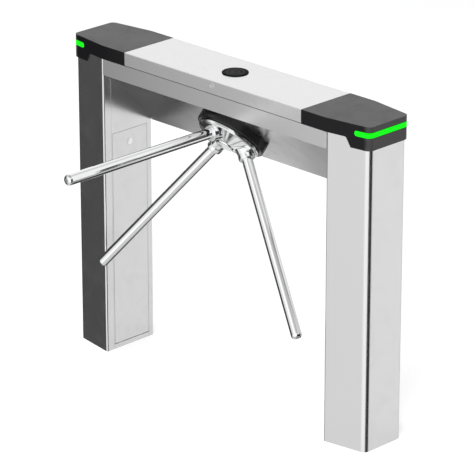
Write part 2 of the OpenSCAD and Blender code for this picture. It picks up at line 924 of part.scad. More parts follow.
// Web from a leaf to its knuckles, on one side of the pivot
module knuckle_webs(start, low, h, from_y) {
    pitch = hinge_l / hinge_knuckles;
    for (i = [start : 2 : hinge_knuckles - 1]) difference() {
        translate([-hinge_l / 2 + i * pitch + hinge_gap / 2, from_y, low])
            cube([pitch - hinge_gap, hinge_y - from_y, h]);
        translate([-hinge_l, hinge_y, hinge_z]) rotate([0, 90, 0])
            cylinder(r = hinge_knuckle_r - over, h = 2 * hinge_l);
    }
}

module hinge_frame_leaves() {
    top = hinge_z - hinge_leaf_t;
    color(zinc) for (x = hinge_places()) translate([x, 0, 0]) {
        translate([-hinge_l / 2, body_w / 2, top - hinge_leaf_h])
            cube([hinge_l, hinge_leaf_t, hinge_leaf_h]);
        knuckle_webs(0, hinge_z - hinge_knuckle_r, hinge_web, body_w / 2);
        knuckles(0, hinge_pin_r);
    }
}

module hinge_lid_leaves() {
    low = hinge_z + hinge_knuckle_r + over;
    color(zinc) for (x = hinge_places()) translate([x, 0, 0]) {
        translate([-hinge_l / 2, lid_half_w, low]) cube([hinge_l, hinge_leaf_t, hinge_leaf_h]);
        knuckle_webs(1, hinge_z + hinge_knuckle_r - hinge_web, hinge_web + 2 * over, lid_half_w);
        knuckles(1, hinge_pin_r + running_gap);
    }
}

module hinge_pins() {
    color(zinc) for (x = hinge_places())
        translate([x - hinge_l / 2, hinge_y, hinge_z]) rotate([0, 90, 0])
            cylinder(r = hinge_pin_r, h = hinge_l);
}

module top_lens() {
    color(black) {
        translate([0, 0, cabinet_h]) rotate_extrude() polygon(rounded(
            [[0, 0], [lens_r, 0], [lens_r, lens_rise], [0, lens_rise]],
            [0, 0, lens_edge_r, 0]));
        translate([0, 0, cabinet_h - lens_neck_h])
            cylinder(r = lens_neck_r, h = lens_neck_h + over);
    }
}

module lens_board() {
    r = lens_neck_r - reader_post_r;
    color(board_green) translate([0, 0, cabinet_h - lens_neck_h - board_t]) {
        cylinder(r = r, h = board_t);
        translate([-reader_coil_r / 2, -reader_coil_r / 2, -board_t])
            cube([reader_coil_r, reader_coil_r, board_t + over / 2]);
    }
}

// Flange and hub

module hub_flange() {
    r = flange_d / 2;
    color(black) on_slope() rotate_extrude() polygon(rounded(
        [[r - flange_wall, 0], [r, 0], [r, flange_h], [flange_hole_r, flange_h],
         [flange_hole_r, 0], [flange_hole_r + flange_wall, 0],
         [flange_hole_r + flange_wall, flange_h - flange_wall],
         [r - flange_wall, flange_h - flange_wall]],
        [0, 0, flange_edge_r, 0, 0, 0, 0, 0]));
}

rim_low = flange_h + hub_clear;
rim_high = rim_low + hub_rim_t;

// Half section of the hub as radius and height over the sloped face
function hub_section() =
    let (r = hub_d / 2)
    rounded(
        [[shaft_r, hub_neck_low], [hub_neck_r, hub_neck_low], [hub_neck_r, rim_low],
         [r, rim_low], [r, rim_high], [r - hub_groove_d, rim_high],
         [r - hub_groove_d, rim_high + hub_groove_w], [hub_dome_r, rim_high + hub_groove_w],
         [hub_top_r, hub_top_h], [hub_crown_r, hub_crown_h], [hub_well_r, hub_crown_h],
         [hub_well_r, hub_well_h], [shaft_r, hub_well_h]],
        [0, hub_edge_r, 0, hub_edge_r, hub_edge_r, 0, 0, 0, hub_dome_bend, hub_crown_bend, 0, 0, 0]);

// Half section of a socket along its arm: a taper, a groove and a collar
function boss_section() =
    let (r = boss_d / 2, end = boss_end - arm_root, collar = end - boss_collar_l)
    rounded(
        [[0, 0], [boss_root_r, 0], [r - boss_step, collar - boss_groove_w],
         [r - boss_groove_d, collar - boss_groove_w], [r - boss_groove_d, collar],
         [r, collar], [r, end], [0, end]],
        [0, 0, 0, 0, 0, 0, boss_edge_r, 0]);

module hub_body() {
    color(chrome) difference() {
        union() {
            on_slope() rotate_extrude() polygon(hub_section());
            difference() {
                for (i = [0 : 2]) on_arm(arm_step * i) translate([0, 0, arm_root]) rotate_extrude()
                    polygon(boss_section());
                on_slope() translate([0, 0, -boss_root_r])
                    ring(hub_d, hub_neck_r - hub_edge_r, boss_root_r + rim_low + hub_edge_r);
            }
        }
        for (i = [0 : 2]) on_arm(arm_step * i) {
            translate([0, 0, arm_root]) cylinder(d = arm_d + 2 * socket_gap, h = boss_end);
            at_set_screw() cylinder(r = screw_r, h = boss_d);
        }
        on_slope() {
            cylinder(r = shaft_r, h = hub_well_h + over);
            translate([0, 0, hub_well_h]) cylinder(r = hub_well_r, h = hub_cap_rise + hub_well_h);
            key_slot(hub_neck_low - over, hub_well_h - hub_neck_low);
        }
    }
}

// Frame of a set screw: +Z runs out of the boss, square to the arm
module at_set_screw() {
    translate([0, 0, boss_end - screw_back]) rotate([0, 90, 0])
        translate([0, 0, arm_d / 2]) children();
}

module arm_set_screws() {
    length = (boss_d - arm_d) / 2 - screw_head_h;
    color(dark) for (i = [0 : 2]) on_arm(arm_step * i) at_set_screw() difference() {
        cylinder(r = screw_r, h = length);
        translate([0, 0, length / 2]) cylinder(r = screw_r / 2, h = length, $fn = 6);
    }
}

module hub_cap() {
    top = hub_crown_h + hub_cap_rise;
    color(chrome) on_slope() rotate_extrude() polygon(rounded(
        [[0, hub_crown_h + hub_cap_rise - flange_wall],
         [hub_cap_r - 3 * flange_wall, hub_crown_h + hub_cap_rise - flange_wall],
         [hub_cap_r - flange_wall, hub_crown_h], [hub_cap_r, hub_crown_h],
         [hub_cap_r - hub_cap_edge / 2, top], [0, top]],
        [0, 0, 0, 0, hub_cap_edge, 0]));
}

module hub_bolt() {
    color(zinc) on_slope() {
        translate([0, 0, hub_well_h - hub_bolt_l]) cylinder(r = hub_bolt_r, h = hub_bolt_l);
        translate([0, 0, hub_well_h]) cylinder(r = hub_washer_r, h = hub_washer_t);
        translate([0, 0, hub_well_h + hub_washer_t])
            cylinder(r = hub_bolt_head_r, h = hub_bolt_head_h, $fn = 6);
    }
}

module arm(turn) {
    color(chrome) on_arm(turn) translate([0, 0, arm_root + socket_gap])
        ring(arm_d / 2, arm_d / 2 - arm_wall, arm_reach - arm_cap_l - arm_root - socket_gap);
}

module arm_end_caps() {
    plug_r = arm_d / 2 - arm_wall;
    color(chrome) for (i = [0 : 2]) on_arm(arm_step * i) translate([0, 0, arm_reach - arm_cap_l])
        rotate_extrude() polygon(rounded(
            [[0, -arm_plug_l], [plug_r, -arm_plug_l], [plug_r, 0], [arm_d / 2, 0],
             [arm_d / 2, arm_cap_l], [0, arm_cap_l]],
            [0, 0, 0, 0, arm_cap_edge, 0]));
}

// Shaft and what carries it

module key_slot(low, h) {
    translate([-key_w / 2 - key_gap / 2, 0, low])
        cube([key_w + key_gap, shaft_r + key_h / 2, h]);
}

hub_key_from = 4;
hub_key_short = 10;
hub_key_low = hub_neck_low + hub_key_from;
hub_key_h = hub_well_h - hub_key_low - hub_key_short;
gear_key_low = shaft_end + shaft_tail;
gear_key_h = gear_front - gear_key_low;

module key_places() {
    translate([0, 0, hub_key_low]) linear_extrude(hub_key_h) children();
    translate([0, 0, gear_key_low]) linear_extrude(gear_key_h) children();
}

module main_shaft() {
    color(zinc) on_slope() difference() {
        union() {
            translate([0, 0, shaft_end])
                cylinder(r = shaft_r, h = hub_well_h - socket_gap - shaft_end);
            cylinder(r = shaft_collar_r, h = hub_neck_low);
        }
        translate([0, 0, hub_well_h - hub_bolt_l]) cylinder(r = hub_bolt_r, h = hub_bolt_l);
        key_places() translate([-key_w / 2, shaft_r - key_h / 2]) square([key_w, key_h]);
    }
}

module shaft_keys() {
    color(zinc) on_slope() key_places()
        translate([-key_w / 2, shaft_r - key_h / 2]) square([key_w, key_h - key_gap]);
}

module mech_bolt_places() {
    for (x = [-mech_bolt_at, mech_bolt_at], y = [-mech_bolt_at, mech_bolt_at])
        translate([x, y, 0]) children();
}

module standoff_places() {
    for (x = [-standoff_x, standoff_x], y = [standoff_low, standoff_high])
        translate([x, y, 0]) children();
}

module mech_plate() {
    color(zinc) on_slope() difference() {
        translate([0, 0, plate_back]) linear_extrude(plate_t) polygon(rounded_box(
            [-mech_half_l, -mech_low], [mech_half_l, mech_high], mech_corner_r));
        translate([0, 0, plate_back - over])
            cylinder(r = housing_r + housing_gap, h = plate_t + 2 * over);
        mech_bolt_places() translate([0, 0, plate_back - over])
            cylinder(r = bolt_r, h = plate_t + 2 * over);
        housing_screw_places() translate([0, 0, plate_back - over])
            cylinder(r = housing_screw_r, h = plate_t / 2 + over);
    }
}

module mech_bolts() {
    color(zinc) on_slope() mech_bolt_places() {
        translate([0, 0, plate_back]) cylinder(r = bolt_r, h = -plate_back);
        cylinder(r = bolt_head_r, h = bolt_head_h, $fn = 6);
    }
}

module housing_screw_places() {
    for (i = [0 : housing_screw_count - 1])
        rotate(360 / housing_screw_count * i)
            translate([(housing_r + housing_flange_r) / 2, 0, 0]) children();
}

// Bearing housing with its screws set in the flange
module bearing_housing() {
    flange_low = plate_back - housing_flange_t;
    color(zinc) on_slope() {
        difference() {
            union() {
                translate([0, 0, -housing_l]) cylinder(r = housing_r, h = housing_l);
                translate([0, 0, flange_low])
                    cylinder(r = housing_flange_r, h = housing_flange_t);
            }
            translate([0, 0, -housing_l - over])
                cylinder(r = bearing_d / 2 - housing_shoulder, h = housing_l + 2 * over);
            translate([0, 0, -bearing_w]) cylinder(r = bearing_d / 2, h = bearing_w + over);
            translate([0, 0, -housing_l - over]) cylinder(r = bearing_d / 2, h = bearing_w + over);
        }
        housing_screw_places() {
            translate([0, 0, flange_low - housing_screw_head_h])
                cylinder(r = housing_screw_head_r, h = housing_screw_head_h);
            translate([0, 0, flange_low - over])
                cylinder(r = housing_screw_r, h = housing_flange_t + plate_t / 2 + over);
        }
    }
}

module bearing() {
    outer = bearing_d / 2;
    race = (outer - shaft_r) * bearing_race_share;
    difference() {
        ring(outer, shaft_r + running_gap, bearing_w);
        for (z = [-over, bearing_w - bearing_groove]) translate([0, 0, z])
            ring(outer - race, shaft_r + race, bearing_groove + over);
    }
}

module shaft_bearings() {
    color(bright) on_slope() for (z = [-bearing_w, -housing_l]) translate([0, 0, z]) bearing();
}

// Drive

module main_gear() {
    rim_r = gear_module * gear_teeth / 2 - gear_rim;
    color(zinc) on_slope() difference() {
        union() {
            translate([0, 0, gear_back]) linear_extrude(gear_face) polygon(gear_outline(gear_teeth));
            translate([0, 0, gear_front - over]) cylinder(r = gear_hub_r, h = -housing_l - gear_front);
            translate([0, 0, lock_front]) cylinder(r = gear_hub_r, h = lock_gap + over);
        }
        for (z = [gear_back - over, gear_front - (gear_face - gear_web) / 2])
            translate([0, 0, z]) ring(rim_r, gear_hub_r, (gear_face - gear_web) / 2 + over);
        for (i = [0 : gear_hole_count - 1]) rotate((i + 0.5) * 360 / gear_hole_count)
            translate([(rim_r + gear_hub_r) / 2, 0, lock_front - over])
                cylinder(r = gear_hole_r, h = gear_face * 2);
        translate([0, 0, lock_front - over]) cylinder(r = shaft_r, h = housing_l);
        key_slot(lock_front - over, housing_l);
    }
}

module motor() {
    back = plate_back - motor_l;
    color(dark) on_slope() translate([gear_centres, 0, 0]) difference() {
        union() {
            translate([0, 0, back]) cylinder(d = motor_d, h = motor_l);
            translate([-motor_d / 2, -motor_d / 2, plate_back - motor_flange_t])
                cube([motor_d, motor_d, motor_flange_t]);
            translate([0, 0, back - motor_nose_h]) cylinder(r = motor_nose_r, h = motor_nose_h);
        }
        translate([0, 0, back - motor_nose_h - over])
            cylinder(r = motor_shaft_r + running_gap, h = motor_shaft_in + 2 * over);
    }
}

module motor_pinion() {
    back = plate_back - motor_l - motor_nose_h;
    color(zinc) on_slope() translate([gear_centres, 0, 0]) {
        translate([0, 0, gear_back]) linear_extrude(gear_face)
            rotate(180 / pinion_teeth) polygon(gear_outline(pinion_teeth));
        translate([0, 0, gear_back]) cylinder(r = motor_shaft_r, h = back + motor_shaft_in - gear_back);
    }
}

// Lock and encoder

// A notch for each place where the arms rest, and one halfway between them
module lock_disc() {
    color(zinc) on_slope() difference() {
        union() {
            translate([0, 0, lock_back]) cylinder(r = lock_r, h = lock_t);
            translate([0, 0, encoder_front]) cylinder(r = lock_hub_r, h = encoder_gap + over);
        }
        for (i = [0 : lock_notches - 1]) rotate(notch_at + 360 / lock_notches * i) {
            translate([lock_r - notch_depth, -notch_w / 2, lock_back - over])
                cube([notch_depth + over, notch_w, lock_t + 2 * over]);
            rotate(180 / lock_notches) translate([lock_hole_at, 0, lock_back - over])
                cylinder(r = lock_hole_r, h = lock_t + 2 * over);
        }
        translate([0, 0, encoder_front - over]) cylinder(r = shaft_r, h = lock_t * 2);
        key_slot(encoder_front - over, lock_t * 2);
    }
}

module encoder_disc() {
    color(dark) on_slope() difference() {
        union() {
            translate([0, 0, encoder_back]) cylinder(r = encoder_r, h = encoder_t);
            translate([0, 0, gear_key_low]) cylinder(r = encoder_hub_r, h = encoder_t);
        }
        for (i = [0 : encoder_slots - 1]) rotate(360 / encoder_slots * i)
            translate([encoder_r - encoder_rim - encoder_slot_l, -encoder_slot_w / 2,
                       encoder_back - over])
                cube([encoder_slot_l, encoder_slot_w, encoder_t + 2 * over]);
        translate([0, 0, gear_key_low - over]) cylinder(r = shaft_r, h = encoder_t + 4 * over);
        key_slot(gear_key_low - over, encoder_t + 4 * over);
    }
}

// Forked light barrier that the encoder disc's rim runs through
module encoder_sensor() {
    mouth = encoder_r - fork_bite;
    color(black) on_slope() difference() {
        translate([-mouth - fork_l, -fork_w / 2, lock_plate_front])
            cube([fork_l, fork_w, fork_h]);
        translate([-encoder_r - fork_gap, -fork_w, encoder_back - fork_gap])
            cube([fork_l, 2 * fork_w, encoder_t + 2 * fork_gap]);
    }
}

// Rear plate, with the pawls' pivot studs riveted in
module lock_plate() {
    pawl_low = pawl_mid - pawl_t / 2;
    pawl_high = pawl_mid + pawl_t / 2;
    color(zinc) on_slope() {
        difference() {
            translate([0, 0, lock_plate_back]) linear_extrude(lock_plate_t) polygon(rounded_box(
                [-lock_plate_half_l, -lock_plate_low], [lock_plate_half_l, lock_plate_high],
                mech_corner_r));
            translate([0, 0, lock_plate_back - over])
                cylinder(r = lock_plate_hole_r, h = lock_plate_t + 2 * over);
            standoff_places() translate([0, 0, lock_plate_back - over])
                cylinder(r = standoff_stud_r, h = lock_plate_t + 2 * over);
        }
        for (side = [-1, 1]) translate([side * pawl_pivot.x, pawl_pivot.y, 0]) {
            translate([0, 0, lock_plate_back]) cylinder(r = pawl_pin_r,
                h = pawl_high + seat_gap + stud_head_h - lock_plate_back);
            translate([0, 0, lock_plate_front])
                cylinder(r = stud_r, h = pawl_low - seat_gap - lock_plate_front);
            translate([0, 0, pawl_high + seat_gap])
                cylinder(r = stud_head_r, h = stud_head_h);
        }
    }
}

module standoffs() {
    color(zinc) on_slope() standoff_places() {
        translate([0, 0, lock_plate_front])
            cylinder(r = standoff_r, h = plate_back - lock_plate_front);
        translate([0, 0, lock_plate_back - standoff_nut_h])
            cylinder(r = standoff_stud_r, h = lock_plate_t + standoff_nut_h + over);
        translate([0, 0, lock_plate_back - standoff_nut_h])
            cylinder(r = standoff_nut_r, h = standoff_nut_h, $fn = 6);
    }
}

// Outline of the pawl of the +X side, pivot at the origin, as it stands when locked
module pawl_outline() {
    tail = tail_l * [sin(notch_at + pawl_swing / 2), cos(notch_at + pawl_swing / 2)];
    slide = tail_slot_l / 2 * unit(tail);
    difference() {
        union() {
            circle(r = pawl_hub_r);
            bar([0, 0], [pawl_arm_rise, -pawl_l], pawl_arm_w);
            translate([nose_tip_gap + pawl_under - notch_depth, -pawl_l - nose_w / 2])
                square([pawl_arm_rise + notch_depth - nose_tip_gap - pawl_under, nose_w]);
            bar([0, 0], tail, tail_w);
            translate(tail) circle(r = tail_r);
        }
        circle(r = pawl_pin_r + running_gap);
        bar(tail - slide, tail + slide, 2 * (plunger_pin_r + tail_gap));
    }
}

module pawl(side) {
    color(zinc) on_slope() at_end(side)
        translate([pawl_pivot.x, pawl_pivot.y, pawl_mid - pawl_t / 2])
            rotate(notch_at + pawl_swing) linear_extrude(pawl_t) pawl_outline();
}

// Path of a torsion spring round a stud: a leg, the turns and a second leg
function spring_path() =
    let (
        low = lock_plate_front + spring_wire / 2,
        high = pawl_mid - pawl_t / 2 - spring_wire / 2 - seat_gap,
        count = spring_turns * spring_steps,
        turn = [for (i = [0 : count])
            [spring_r * cos(360 * i / spring_steps), spring_r * sin(360 * i / spring_steps),
             low + (high - low) * i / count]]
    )
    concat([turn[0] - [0, spring_leg, 0]], turn, [turn[count] + [0, spring_leg, 0]]);

module wire(path, r, sides) {
    n = len(path);
    rings = [for (i = [0 : n - 1])
        let (
            along = unit(path[min(i + 1, n - 1)] - path[max(i - 1, 0)]),
            across = unit(cross(along, [0, 0, 1])),
            up = cross(across, along)
        )
        for (k = [0 : sides - 1])
            path[i] + r * (across * cos(360 * k / sides) + up * sin(360 * k / sides))];
    sides_faces = [for (i = [0 : n - 2], k = [0 : sides - 1])
        let (a = i * sides + k, b = i * sides + (k + 1) % sides)
        each [[a, b, b + sides], [a, b + sides, a + sides]]];
    polyhedron(rings, concat(
        sides_faces,
        [[for (k = [0 : sides - 1]) sides - 1 - k]],
        [[for (k = [0 : sides - 1]) (n - 1) * sides + k]]));
}

module pawl_springs() {
    color(dark) on_slope() for (side = [-1, 1]) at_end(side)
        translate([pawl_pivot.x, pawl_pivot.y, 0])
            wire(spring_path(), spring_wire / 2, spring_sides);
}

// Solenoids pull their plungers away from the middle to lock

module at_plunger(side) {
    on_slope() at_end(side) translate([tail_pin.x, tail_pin.y, pawl_mid]) children();
}

module solenoids() {
    floor_z = lock_plate_front - pawl_mid;
    height = -2 * floor_z;
    color(copper) for (side = [-1, 1]) at_plunger(side) translate([solenoid_at, 0, 0])
        difference() {
            union() {
                for (x = [0, solenoid_l - solenoid_wall])
                    translate([x, -solenoid_w / 2, floor_z])
                        cube([solenoid_wall, solenoid_w, height]);
                translate([0, -solenoid_w / 2, floor_z])
                    cube([solenoid_l, solenoid_w, solenoid_wall / 2]);
                rotate([0, 90, 0]) cylinder(r = solenoid_coil_r, h = solenoid_l);
            }
            translate([-over, 0, 0]) rotate([0, 90, 0])
                cylinder(r = plunger_r, h = plunger_room + over);
        }
}

module plunger(side) {
    front = solenoid_at - plunger_proud;
    blade_low = pawl_t / 2 + seat_gap;
    blade_end = solenoid_at - plunger_travel - face_gap;
    color(bright) at_plunger(side) {
        translate([front, 0, 0]) rotate([0, 90, 0])
            cylinder(r = plunger_r - running_gap, h = plunger_l);
        translate([-plunger_blade_w / 2, -plunger_blade_w / 2, blade_low])
            cube([blade_end + plunger_blade_w / 2, plunger_blade_w, plunger_blade_t - seat_gap]);
        translate([0, 0, -pawl_t / 2]) cylinder(r = plunger_pin_r, h = pawl_t + plunger_blade_t);
    }
}

// Electronics

module control_board() {
    wall_y = body_w / 2 - sheet_t;
    board_y = wall_y - control_post - board_t;
    color(board_green) translate([control_x, 0, control_z]) {
        translate([-board_l / 2, board_y, -board_h / 2]) cube([board_l, board_t, board_h]);
        for (x = [-1, 1], z = [-1, 1])
            translate([x * (board_l / 2 - control_margin), wall_y,
                       z * (board_h / 2 - control_margin)])
                rotate([90, 0, 0]) cylinder(r = control_post_r, h = control_post);
        for (share = chip_places)
            translate([board_l * share, board_y - chip_h, 0])
                cube([board_l * chip_l_share, chip_h, board_h * chip_w_share]);
        translate([-board_l * terminal_l_share / 2, board_y - chip_h, -board_h / 2])
            cube([board_l * terminal_l_share, chip_h, terminal_h]);
    }
}

module power_supply() {
    wall_y = body_w / 2 - sheet_t;
    color(bright) translate([supply_x - supply_l / 2, wall_y - supply_d, supply_z - supply_h / 2])
        difference() {
            cube([supply_l, supply_d, supply_h]);
            translate([-over, -over, -over]) cube([terminal_d, supply_d / 2, supply_h + 2 * over]);
            for (i = [1 : supply_slots])
                translate([terminal_d + (supply_l - terminal_d) * i / (supply_slots + 1), -over,
                           supply_h * (1 - supply_slot_share) / 2])
                    cube([supply_slot_w, supply_slot_d + over, supply_h * supply_slot_share]);
        }
}

leg(-1);  // leg_left
leg(1);  // leg_right
base_plates();
door(-1);  // door_left
door(1);  // door_right
door_lock(-1);  // door_lock_left
door_lock(1);  // door_lock_right
door_cam(-1);  // door_cam_left
door_cam(1);  // door_cam_right
beam_shell();
beam_bolts();
cable_grommets();
cap(-1);  // cap_left
cap(1);  // cap_right
light_bar(-1);  // light_bar_left
light_bar(1);  // light_bar_right
led_boards();
reader_boards();
lid();
lid_gasket();
lid_keeper();
lid_lock();
lid_cam();
hinge_frame_leaves();
hinge_lid_leaves();
hinge_pins();
top_lens();
lens_board();
hub_flange();
mech_plate();
mech_bolts();
bearing_housing();
shaft_bearings();
main_shaft();
shaft_keys();
hub_body();
hub_cap();
hub_bolt();
arm(0);  // arm_barrier
arm(arm_step);  // arm_left
arm(2 * arm_step);  // arm_right
arm_end_caps();
arm_set_screws();
main_gear();
motor();
motor_pinion();
lock_disc();
encoder_disc();
encoder_sensor();
lock_plate();
standoffs();
pawl(-1);  // pawl_a
pawl(1);  // pawl_b
plunger(-1);  // plunger_a
plunger(1);  // plunger_b
solenoids();
pawl_springs();
control_board();
power_supply();
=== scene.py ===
"""Looks of a bridge type tripod turnstile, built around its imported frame. Lengths are in metres."""

import json
import math

import bpy
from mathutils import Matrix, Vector


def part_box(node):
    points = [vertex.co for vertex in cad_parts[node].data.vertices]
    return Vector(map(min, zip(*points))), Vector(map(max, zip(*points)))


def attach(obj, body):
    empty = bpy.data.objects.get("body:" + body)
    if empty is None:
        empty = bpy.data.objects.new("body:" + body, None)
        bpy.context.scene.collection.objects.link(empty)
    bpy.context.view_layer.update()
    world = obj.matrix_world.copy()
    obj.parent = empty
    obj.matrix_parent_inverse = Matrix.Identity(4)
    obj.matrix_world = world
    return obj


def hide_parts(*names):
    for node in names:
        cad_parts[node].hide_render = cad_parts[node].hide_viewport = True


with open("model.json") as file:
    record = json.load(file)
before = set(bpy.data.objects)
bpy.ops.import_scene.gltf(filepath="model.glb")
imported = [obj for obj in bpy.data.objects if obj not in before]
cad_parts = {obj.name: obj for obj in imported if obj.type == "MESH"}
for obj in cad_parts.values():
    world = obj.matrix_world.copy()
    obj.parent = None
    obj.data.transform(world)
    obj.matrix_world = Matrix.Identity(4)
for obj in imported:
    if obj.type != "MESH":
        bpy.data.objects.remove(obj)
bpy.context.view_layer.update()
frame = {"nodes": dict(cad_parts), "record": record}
scene = bpy.context.scene

# Camera, at the photograph's own place and direction, with a longer lens for one machine
CAMERA_AT = Vector((6.2925, -6.2752, 3.9415))
CAMERA_AIM = Vector((0.107, -0.100, 0.531))
CAMERA_LENS = 248.0
CAMERA_REACH = 60.0

camera_data = bpy.data.cameras.new("camera")
camera_data.lens = CAMERA_LENS
camera_data.clip_end = CAMERA_REACH
camera = bpy.data.objects.new("camera", camera_data)
camera.location = CAMERA_AT
camera.rotation_euler = (CAMERA_AIM - CAMERA_AT).to_track_quat("-Z", "Y").to_euler()
scene.collection.objects.link(camera)
scene.camera = camera
scene.view_settings.view_transform = "Standard"


# Node helpers
def feed(tree, socket, value):
    """Give a socket its value, or link it where the value is a socket."""
    if isinstance(value, bpy.types.NodeSocket):
        tree.links.new(value, socket)
    else:
        socket.default_value = value


def new_node(tree, kind, inputs=None, **settings):
    """A node with its settings, and its inputs given as values or as sockets to link."""
    node = tree.nodes.new(kind)
    for key, value in settings.items():
        setattr(node, key, value)
    for key, value in (inputs or {}).items():
        feed(tree, node.inputs[key], value)
    return node


def maths(tree, operation, first, second=0.0, third=0.0):
    """One step of arithmetic on values or sockets."""
    return new_node(tree, "ShaderNodeMath", {0: first, 1: second, 2: third}, operation=operation).outputs[0]


def noise(tree, place, scale, detail=2.0, roughness=0.5, distortion=0.0):
    """Smooth noise between 0 and 1."""
    return new_node(tree, "ShaderNodeTexNoise",
                    {"Vector": place, "Scale": scale, "Detail": detail, "Roughness": roughness,
                     "Distortion": distortion}).outputs["Fac"]


def scaled(tree, colour, level):
    """A colour made brighter or darker."""
    return new_node(tree, "ShaderNodeVectorMath", {0: colour, "Scale": level}, operation="SCALE").outputs[0]


def axes(tree, place):
    """The X, Y and Z of a place or direction."""
    return new_node(tree, "ShaderNodeSeparateXYZ", {"Vector": place}).outputs


def share_of_way(tree, value, start, end, smooth=True, levels=(0.0, 1.0)):
    """How far a value has come from start to end, as a level between the two levels."""
    return new_node(tree, "ShaderNodeMapRange",
                    {"Value": value, "From Min": start, "From Max": end, "To Min": levels[0],
                     "To Max": levels[1]}, interpolation_type="SMOOTHSTEP" if smooth else "LINEAR").outputs[0]


def ramp(tree, fac, stops):
    """A smooth grey ramp through (place, level) stops."""
    node = new_node(tree, "ShaderNodeValToRGB", {"Fac": fac})
    node.color_ramp.interpolation = "EASE"
    places = node.color_ramp.elements
    while len(places) < len(stops):
        places.new(0.5)
    for element, (place, level) in zip(places, stops):
        element.position = place
        element.color = (level, level, level, 1.0)
    return node.outputs["Color"]


def blend_colours(tree, share, first, second):
    """First colour where share is 0, second where it is 1."""
    mixed = new_node(tree, "ShaderNodeMix", data_type="RGBA")
    colours = [socket for socket in mixed.inputs if socket.type == "RGBA"]
    for socket, value in zip([mixed.inputs[0]] + colours, (share, first, second)):
        feed(tree, socket, value)
    return [socket for socket in mixed.outputs if socket.type == "RGBA"][0]


def new_group(name, inputs, outputs):
    """An empty shader node group with named sockets, its inputs given as (name, kind, value)."""
    tree = bpy.data.node_groups.new(name, "ShaderNodeTree")
    for socket, kind, value in inputs:
        made = tree.interface.new_socket(name=socket, in_out="INPUT", socket_type="NodeSocket" + kind)
        if value is not None:
            made.default_value = value
    for socket, kind in outputs:
        tree.interface.new_socket(name=socket, in_out="OUTPUT", socket_type="NodeSocket" + kind)
    start = tree.nodes.new("NodeGroupInput")
    end = tree.nodes.new("NodeGroupOutput")
    return tree, start.outputs, end.inputs


def use_group(tree, group, inputs):
    """The outputs of a group put into a tree, its inputs given as values or as sockets to link."""
    made = tree.nodes.new("ShaderNodeGroup")
    made.node_tree = group
    for key, value in inputs.items():
        feed(tree, made.inputs[key], value)
    return made.outputs


# Effects that several materials share. A scale is in waves to the metre.
FINE_LINES_SCALE = 900.0
BROAD_LINES_SCALE = 160.0
FINE_SHARE = 0.6
PATCHES_SCALE = 3.2
GRAIN_ROUGHENS = 0.6

WIPES_SCALE = 14.0
WIPED_STOPS = [(0.45, 0.0), (0.7, 1.0)]
DUST_SCALE = 60.0
DUST_COLOUR = (0.46, 0.43, 0.39, 1)
DUST_ROUGHENS = 0.5

MOTTLE_SCALE = 22.0
MOTTLE_ROUGHENS = 0.8


def grain_group():
    """Fine lines left by a sanding belt, with slow patches of brighter and duller metal."""
    tree, given, made = new_group(
        "belt grain",
        [("Vector", "Vector", None), ("Colour", "Color", (0.7, 0.7, 0.7, 1)), ("Roughness", "Float", 0.3),
         ("Stretch", "Vector", (1, 1, 1)), ("Contrast", "Float", 0.1), ("Patches", "Float", 0.1)],
        [("Colour", "Color"), ("Roughness", "Float"), ("Height", "Float")],
    )
    drawn = new_node(tree, "ShaderNodeVectorMath", {0: given["Vector"], 1: given["Stretch"]},
                     operation="MULTIPLY").outputs[0]
    fine = maths(tree, "MULTIPLY", noise(tree, drawn, FINE_LINES_SCALE), FINE_SHARE)
    broad = maths(tree, "MULTIPLY", noise(tree, drawn, BROAD_LINES_SCALE, detail=3.0), 1 - FINE_SHARE)
    lines = maths(tree, "ADD", fine, broad)
    patch = noise(tree, given["Vector"], PATCHES_SCALE)
    swing = maths(tree, "MULTIPLY", maths(tree, "SUBTRACT", lines, 0.5), given["Contrast"])
    slow = maths(tree, "MULTIPLY", maths(tree, "SUBTRACT", patch, 0.5), given["Patches"])
    change = maths(tree, "ADD", swing, slow)
    tinted = scaled(tree, given["Colour"], maths(tree, "ADD", change, 1.0))
    rough = maths(tree, "ADD", given["Roughness"], maths(tree, "MULTIPLY", change, GRAIN_ROUGHENS))
    tree.links.new(tinted, made["Colour"])
    tree.links.new(rough, made["Roughness"])
    tree.links.new(lines, made["Height"])
    return tree


def handling_group():
    """Dulled patches where hands wipe a surface, and a little dust near the floor."""
    tree, given, made = new_group(
        "handling",
        [("Vector", "Vector", None), ("Colour", "Color", (0.5, 0.5, 0.5, 1)), ("Roughness", "Float", 0.3),
         ("Smears", "Float", 0.08), ("Dust", "Float", 0.1), ("Dust height", "Float", 0.12)],
        [("Colour", "Color"), ("Roughness", "Float")],
    )
    wiped = noise(tree, given["Vector"], WIPES_SCALE, detail=5.0, roughness=0.65, distortion=1.2)
    smear = ramp(tree, wiped, WIPED_STOPS)
    rough = maths(tree, "ADD", given["Roughness"], maths(tree, "MULTIPLY", smear, given["Smears"]))
    height = axes(tree, given["Vector"])["Z"]
    low = share_of_way(tree, height, 0.0, given["Dust height"], levels=(1.0, 0.0))
    speck = noise(tree, given["Vector"], DUST_SCALE, detail=6.0)
    dust = maths(tree, "MULTIPLY", maths(tree, "MULTIPLY", low, speck), given["Dust"])
    dusty = maths(tree, "ADD", rough, maths(tree, "MULTIPLY", dust, DUST_ROUGHENS))
    tree.links.new(blend_colours(tree, dust, given["Colour"], DUST_COLOUR), made["Colour"])
    tree.links.new(dusty, made["Roughness"])
    return tree


